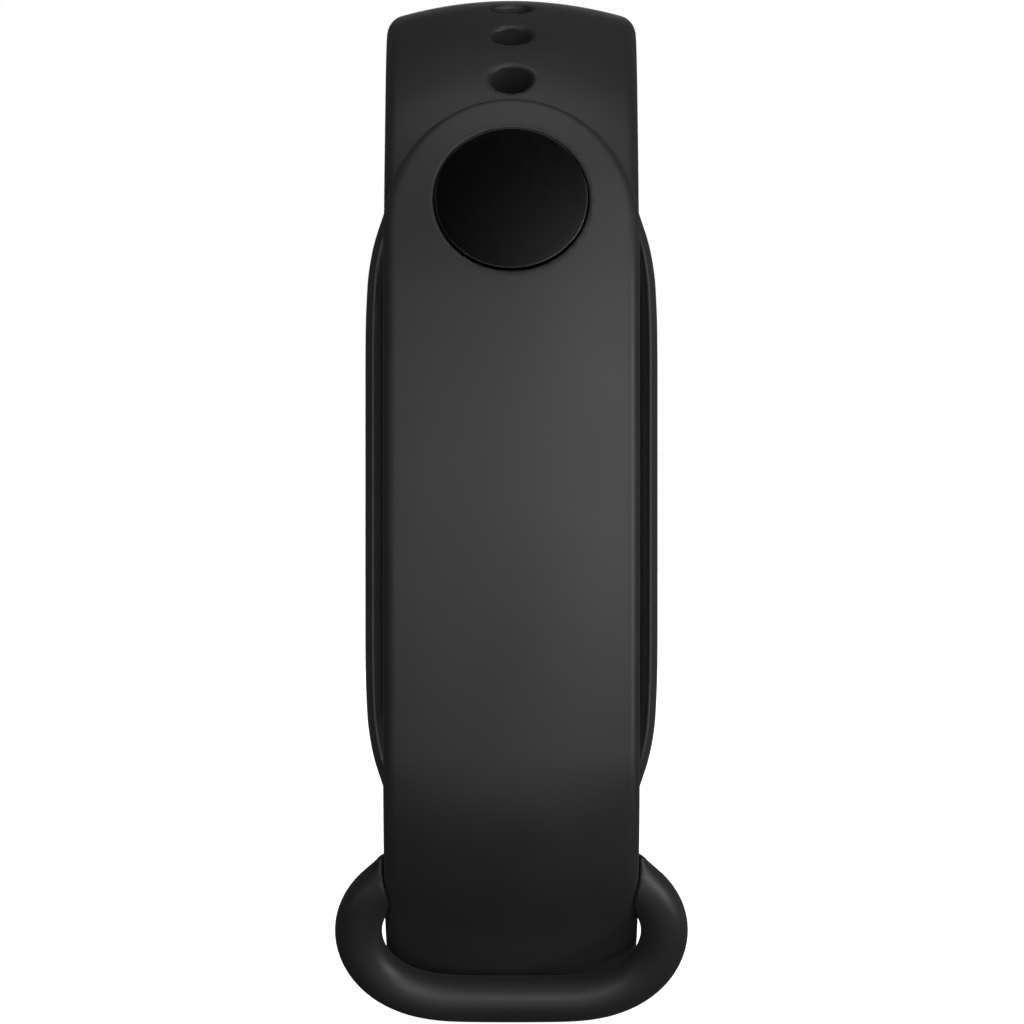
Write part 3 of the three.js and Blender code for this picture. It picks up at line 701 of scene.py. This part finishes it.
rear_ob = sdf_object("rear_housing_shell", rear, (-9.8, 14.0, -23.5), (9.8, 18.0, 25.2), 0.22)
print("rear", len(rear_ob.data.vertices), round(time.time() - _t0, 1))

# sensor window: slightly domed skin face is kept flat in the middle
prof = [(0, 15.3), (4.05, 15.3)] + fillet((4.15, 15.3), (4.25, 15.2), (4.15, 15.2), 3)
prof += fillet((4.25, 14.6), (3.9, 14.25), (3.9, 14.6), 6) + [(2.0, 14.25), (0, 14.25)]
window_ob = lathe("sensor_window_disc", prof, centre=(0, 0.8))


# crest line on the cradle's wrist side
def crest(side):
    zs = np.linspace(-21.6, 21.6, 260)
    dh = np.interp(np.abs(zs), _t, _dh)
    h = np.interp(np.abs(zs), _t, _h) - CREST * np.sqrt(1 + dh * dh)
    P = np.stack([side * h, np.full_like(zs, RING_Y0 + 0.07), zs + 0.8], 1)
    T = np.gradient(P, axis=0)
    T /= np.linalg.norm(T, axis=1)[:, None]
    N = np.array([0, -1.0, 0])
    B = np.cross(T, N)
    verts, faces, m = [], [], 12
    rr = 0.16 * smooth01((21.6 - np.abs(zs)) / 3.5) + 0.004
    for i in range(len(P)):
        for j in range(m):
            a = 2 * math.pi * j / m
            verts.append(P[i] + rr[i] * (math.cos(a) * N + math.sin(a) * B[i]) + np.array([0, 0.06 * (1 - rr[i] / 0.164), 0]))
    for i in range(len(P) - 1):
        for j in range(m):
            k = (j + 1) % m
            faces.append((i * m + j, i * m + k, (i + 1) * m + k, (i + 1) * m + j))
    faces.append(tuple(range(m)))
    faces.append(tuple(reversed([(len(P) - 1) * m + j for j in range(m)])))
    ob = mesh_object("cradle_crest_" + ("right" if side > 0 else "left"), to_row(verts), faces)
    bm = bmesh.new(); bm.from_mesh(ob.data)
    bmesh.ops.recalc_face_normals(bm, faces=bm.faces)
    bm.to_mesh(ob.data); bm.free()
    ob.data.shade_smooth()
    return ob


crests = [crest(1), crest(-1)]


# ------------------------------------------------------------------ materials
def material(name, build):
    m = bpy.data.materials.new(name)
    m.use_nodes = True
    nt = m.node_tree
    nt.nodes.clear()
    out = nt.nodes.new("ShaderNodeOutputMaterial")
    b = nt.nodes.new("ShaderNodeBsdfPrincipled")
    nt.links.new(b.outputs[0], out.inputs[0])
    build(nt, b)
    return m


def coords(nt):
    return nt.nodes.new("ShaderNodeTexCoord").outputs["Object"]


def noise(nt, scale, detail=3.0, rough=0.5, vec=None):
    n = nt.nodes.new("ShaderNodeTexNoise")
    n.inputs["Scale"].default_value = scale
    n.inputs["Detail"].default_value = detail
    n.inputs["Roughness"].default_value = rough
    nt.links.new(vec or coords(nt), n.inputs["Vector"])
    return n.outputs[0]


def ramp(nt, fac, stops):
    r = nt.nodes.new("ShaderNodeValToRGB")
    els = r.color_ramp.elements
    while len(els) < len(stops):
        els.new(0.5)
    for el, (p, c) in zip(els, stops):
        el.position = p
        el.color = (*c, 1) if len(c) == 3 else c
    nt.links.new(fac, r.inputs[0])
    return r.outputs[0]


def maprange(nt, fac, a, b, lo=0.0, hi=1.0):
    m = nt.nodes.new("ShaderNodeMapRange")
    m.inputs["From Min"].default_value = lo
    m.inputs["From Max"].default_value = hi
    m.inputs["To Min"].default_value = a
    m.inputs["To Max"].default_value = b
    nt.links.new(fac, m.inputs["Value"])
    return m.outputs[0]


def bump(nt, b, height, strength, distance):
    n = nt.nodes.new("ShaderNodeBump")
    n.inputs["Strength"].default_value = strength
    n.inputs["Distance"].default_value = distance
    nt.links.new(height, n.inputs["Height"])
    nt.links.new(n.outputs[0], b.inputs["Normal"])


def plain(dark, light, scale, rough, bumpy=None, metallic=0.0, coat=0.0, spec=0.5, coat_rough=0.05):
    def build(nt, b):
        nt.links.new(ramp(nt, noise(nt, scale), [(0.3, dark), (0.7, light)]), b.inputs["Base Color"])
        nt.links.new(maprange(nt, noise(nt, scale * 1.7), rough[0], rough[1], 0.3, 0.7), b.inputs["Roughness"])
        b.inputs["Metallic"].default_value = metallic
        b.inputs["Specular IOR Level"].default_value = spec
        if coat:
            b.inputs["Coat Weight"].default_value = coat
            b.inputs["Coat Roughness"].default_value = coat_rough
        if bumpy:
            bump(nt, b, noise(nt, bumpy[0], 2.0), bumpy[1], bumpy[2])
    return build


def elastomer(nt, b):
    fine = noise(nt, 5200, 2.0)
    broad = noise(nt, 160, 3.0)
    nt.links.new(ramp(nt, broad, [(0.3, (0.0205, 0.0205, 0.0208)), (0.7, (0.0245, 0.0245, 0.0248))]), b.inputs["Base Color"])
    nt.links.new(maprange(nt, broad, 0.40, 0.46, 0.3, 0.7), b.inputs["Roughness"])
    b.inputs["Specular IOR Level"].default_value = 0.42
    b.inputs["Sheen Weight"].default_value = 0.04
    b.inputs["Sheen Roughness"].default_value = 0.5
    bump(nt, b, fine, 0.18, 0.00002)


M = {}
M["elastomer"] = material("elastomer_black", elastomer)
M["stud"] = material("stud_polished", plain((0.0003, 0.0003, 0.00035), (0.0006, 0.0006, 0.00065), 900, (0.12, 0.17), (2500, 0.03, 0.00001), spec=0.5))
M["shell"] = material("shell_black", plain((0.014, 0.014, 0.015), (0.019, 0.019, 0.02), 700, (0.38, 0.46), (4200, 0.2, 0.00002)))
M["glass"] = material("cover_glass_black", plain((0.003, 0.003, 0.0035), (0.0045, 0.0045, 0.005), 300, (0.03, 0.06), None, coat=0.4))
M["window"] = material("window_smoked", plain((0.006, 0.006, 0.007), (0.012, 0.012, 0.014), 600, (0.06, 0.1), None, coat=0.3))
M["steel"] = material("stamped_steel", plain((0.42, 0.42, 0.43), (0.6, 0.6, 0.61), 1500, (0.22, 0.38), (6000, 0.15, 0.00001), metallic=1.0))
M["pcb"] = material("circuit_board", plain((0.008, 0.05, 0.022), (0.014, 0.075, 0.035), 900, (0.3, 0.45), (3000, 0.2, 0.00002)))
M["chip"] = material("chip_black", plain((0.012, 0.012, 0.013), (0.022, 0.022, 0.024), 2500, (0.4, 0.55), (5000, 0.2, 0.00002)))
M["foil"] = material("battery_foil", plain((0.36, 0.36, 0.38), (0.55, 0.55, 0.57), 500, (0.25, 0.4), (900, 0.25, 0.0001), metallic=0.9))
M["seal"] = material("seal_rubber", plain((0.02, 0.02, 0.02), (0.035, 0.035, 0.035), 2000, (0.65, 0.8), (3000, 0.3, 0.00003)))
M["gold"] = material("contact_gold", plain((0.6, 0.4, 0.13), (0.78, 0.55, 0.22), 1800, (0.16, 0.28), (5000, 0.1, 0.00001), metallic=1.0))
M["ceramic"] = material("ceramic_pale", plain((0.55, 0.57, 0.5), (0.7, 0.72, 0.66), 1500, (0.35, 0.5), (4000, 0.2, 0.00001)))
M["flex"] = material("flex_amber", plain((0.22, 0.09, 0.015), (0.34, 0.15, 0.03), 700, (0.25, 0.4), (2500, 0.15, 0.00001)))
M["display"] = material("display_dark", plain((0.008, 0.009, 0.012), (0.013, 0.014, 0.018), 500, (0.12, 0.2), (3000, 0.05, 0.00001)))
M["tungsten"] = material("rotor_tungsten", plain((0.2, 0.2, 0.205), (0.3, 0.3, 0.31), 2500, (0.35, 0.5), (6000, 0.3, 0.00002), metallic=1.0))


def paint(ob, key):
    ob.data.materials.clear()
    ob.data.materials.append(M[key])


for ob in [band_ob, tab_ob, *crests]:
    paint(ob, "elastomer")
paint(cap_ob, "stud")
paint(glass_ob, "glass")
paint(frame_ob, "shell")
paint(rear_ob, "shell")
paint(window_ob, "window")

by_slot = {"band_elastomer": "elastomer", "stud_gloss": "stud", "stud_steel": "steel", "shell_plastic": "shell",
           "cover_glass": "glass", "display": "display", "sheet_steel": "steel", "circuit_board": "pcb",
           "chip_black": "chip", "ceramic_pale": "ceramic", "flex_amber": "flex", "battery_foil": "foil",
           "seal_rubber": "seal", "window_gloss": "window", "contact_gold": "gold", "tungsten": "tungsten"}
slots = {s["node"]: s["material_slot"] for s in frame["record"]["subparts"]}
nodes = frame["nodes"]
for name in slots:
    ob = bpy.data.objects.get(name)
    if ob is None:
        continue
    if not len(ob.material_slots):
        ob.data.materials.append(M[by_slot[slots[name]]])
    for sl in ob.material_slots:
        sl.material = M[by_slot[slots[name]]]

# ------------------------------------------------------------------ who rides on what
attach(band_ob, "band")
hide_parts("cradle_ring", "strap_top_curve", "hole_strap_plate", "keeper_loop")
for c in crests:
    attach(c, "band")
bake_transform(tab_ob)
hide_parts("stud_strap_curve", "stud_strap_tab")
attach(cap_ob, "tab")
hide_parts("stud_cap")
for ob, node, slot in ((glass_ob, "front_glass", "cover_glass"), (frame_ob, "middle_frame", "shell_plastic"),
                       (rear_ob, "rear_housing", "shell_plastic"), (window_ob, "sensor_window", "window_gloss")):
    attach(ob, "capsule")
    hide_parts(node)

# ------------------------------------------------------------------ floor, world and lights
FLOOR_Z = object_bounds()[0][2] - 0.0001
bm = bmesh.new()
bmesh.ops.create_grid(bm, x_segments=24, y_segments=24, size=3.0)
me = bpy.data.meshes.new("floor")
bm.to_mesh(me)
bm.free()
floor = bpy.data.objects.new("floor", me)
scene.collection.objects.link(floor)
floor.location = (0, 0, FLOOR_Z)


def pale(nt, b):
    nt.links.new(ramp(nt, noise(nt, 12), [(0.3, (0.93, 0.93, 0.93)), (0.7, (0.95, 0.95, 0.95))]), b.inputs["Base Color"])
    b.inputs["Roughness"].default_value = 0.9
    b.inputs["Specular IOR Level"].default_value = 0.1
    b.inputs["Emission Color"].default_value = (1, 1, 1, 1)
    b.inputs["Emission Strength"].default_value = 1.05


paint_floor = material("floor_pale", pale)
floor.data.materials.append(paint_floor)
floor.visible_diffuse = False
floor.visible_glossy = False
floor.visible_shadow = False

world = bpy.data.worlds.new("studio")
scene.world = world
world.use_nodes = True
wt = world.node_tree
wt.nodes.clear()
wo = wt.nodes.new("ShaderNodeOutputWorld")
mix = wt.nodes.new("ShaderNodeMixShader")
lp = wt.nodes.new("ShaderNodeLightPath")
b_dim, b_white = wt.nodes.new("ShaderNodeBackground"), wt.nodes.new("ShaderNodeBackground")
b_dim.inputs[0].default_value = (1, 1, 1, 1)
# a dim studio with one wide soft glow, high in front and to the right
sky = wt.nodes.new("ShaderNodeTexCoord").outputs["Generated"]
dot = wt.nodes.new("ShaderNodeVectorMath")
dot.operation = "DOT_PRODUCT"
dot.inputs[1].default_value = (0.334, -0.826, 0.454)
wt.links.new(sky, dot.inputs[0])


def calc(op, a, b=None):
    n = wt.nodes.new("ShaderNodeMath")
    n.operation = op
    for i, v in enumerate((a, b)):
        if v is None:
            continue
        if isinstance(v, (int, float)):
            n.inputs[i].default_value = v
        else:
            wt.links.new(v, n.inputs[i])
    return n.outputs[0]


glow = calc("EXPONENT", calc("DIVIDE", calc("SUBTRACT", dot.outputs["Value"], 1.0), 0.044))
wt.links.new(calc("ADD", calc("MULTIPLY", glow, 0.95), 0.012), b_dim.inputs[1])
b_white.inputs[0].default_value = (1, 1, 1, 1)
b_white.inputs[1].default_value = 1.0
wt.links.new(lp.outputs["Is Camera Ray"], mix.inputs[0])
wt.links.new(b_dim.outputs[0], mix.inputs[1])
wt.links.new(b_white.outputs[0], mix.inputs[2])
wt.links.new(mix.outputs[0], wo.inputs[0])


def area(name, loc, aim, w, h, power):
    ld = bpy.data.lights.new(name, "AREA")
    ld.shape = "RECTANGLE"
    ld.size, ld.size_y = w, h
    ld.energy = power
    o = bpy.data.objects.new(name, ld)
    scene.collection.objects.link(o)
    o.location = loc
    o.visible_camera = False
    o.rotation_mode = "QUATERNION"
    d = Vector(aim) - Vector(loc)
    o.rotation_quaternion = d.to_track_quat("-Z", "Y")
    return o


LIGHTS = {  # name: place, width, height, watts
    "front": ((0.0, -1.05, 0.08), 0.5, 0.3, 1.15),
    "right_20": ((0.38, -1.0, 0.05), 0.2, 0.5, 1.22),
    "right_35": ((0.6, -0.85, 0.05), 0.2, 0.5, 1.2),
    "right_65": ((0.95, -0.42, 0.05), 0.2, 0.5, 2.98),
    "right_140": ((0.65, 0.8, 0.1), 0.4, 0.8, 0.1),
    "left_20": ((-0.38, -1.0, 0.05), 0.2, 0.5, 0.79),
    "left_35": ((-0.6, -0.85, 0.05), 0.2, 0.5, 0.6),
    "left_60": ((-0.92, -0.5, 0.05), 0.25, 0.5, 0.22),
    "left_140": ((-0.65, 0.8, 0.1), 0.4, 0.8, 0.06),
    "high_right": ((0.55, -0.65, 0.65), 0.4, 0.4, 1.04),
    "high_left": ((-0.55, -0.65, 0.65), 0.4, 0.4, 0.4),
    "overhead": ((0.0, -0.25, 0.98), 0.8, 0.5, 1.85),
    "low_front": ((0.0, -0.9, -0.5), 0.8, 0.3, 0.58),
    "back": ((0.0, 1.0, 0.05), 0.25, 0.6, 0.45),
}
for name, (place, w, h, power) in LIGHTS.items():
    area(name, place, (0, -0.025, 0), w, h, power)
